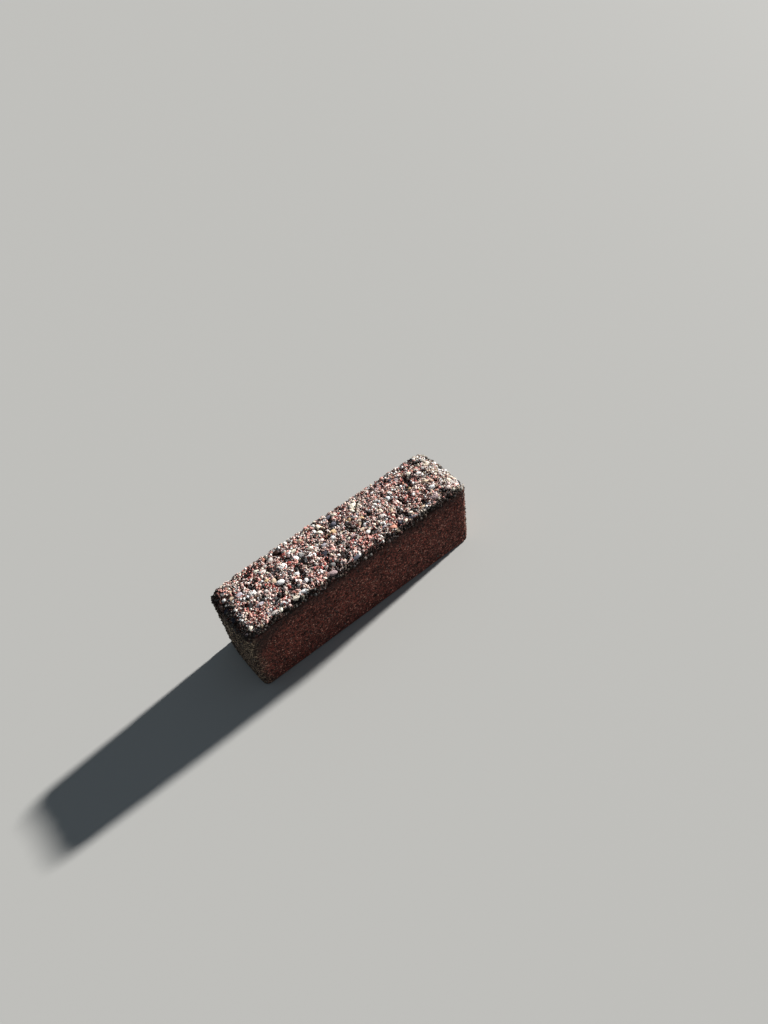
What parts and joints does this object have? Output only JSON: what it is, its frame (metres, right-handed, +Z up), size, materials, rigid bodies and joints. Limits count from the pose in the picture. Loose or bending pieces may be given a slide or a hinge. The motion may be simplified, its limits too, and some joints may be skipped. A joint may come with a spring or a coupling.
{
  "type": "concrete paving brick",
  "caption": "Worn red concrete paving brick: a plain cast block with a crowned, pebbly walking face, rounded arrises and small broken corners.",
  "frame": {"origin": "on the ground, under the middle of the brick", "axes": "+X along the brick's length, +Y across its width, +Z up, out of the worn face"},
  "size_m": [0.2, 0.052, 0.066],
  "materials": {
    "pigmented_concrete": "weathered red through-coloured concrete with white, grey, blue-grey and ochre grains exposed on the worn face, matt"
  },
  "bodies": {
    "root": {"brick": "pigmented_concrete"}
  },
  "joints": []
}
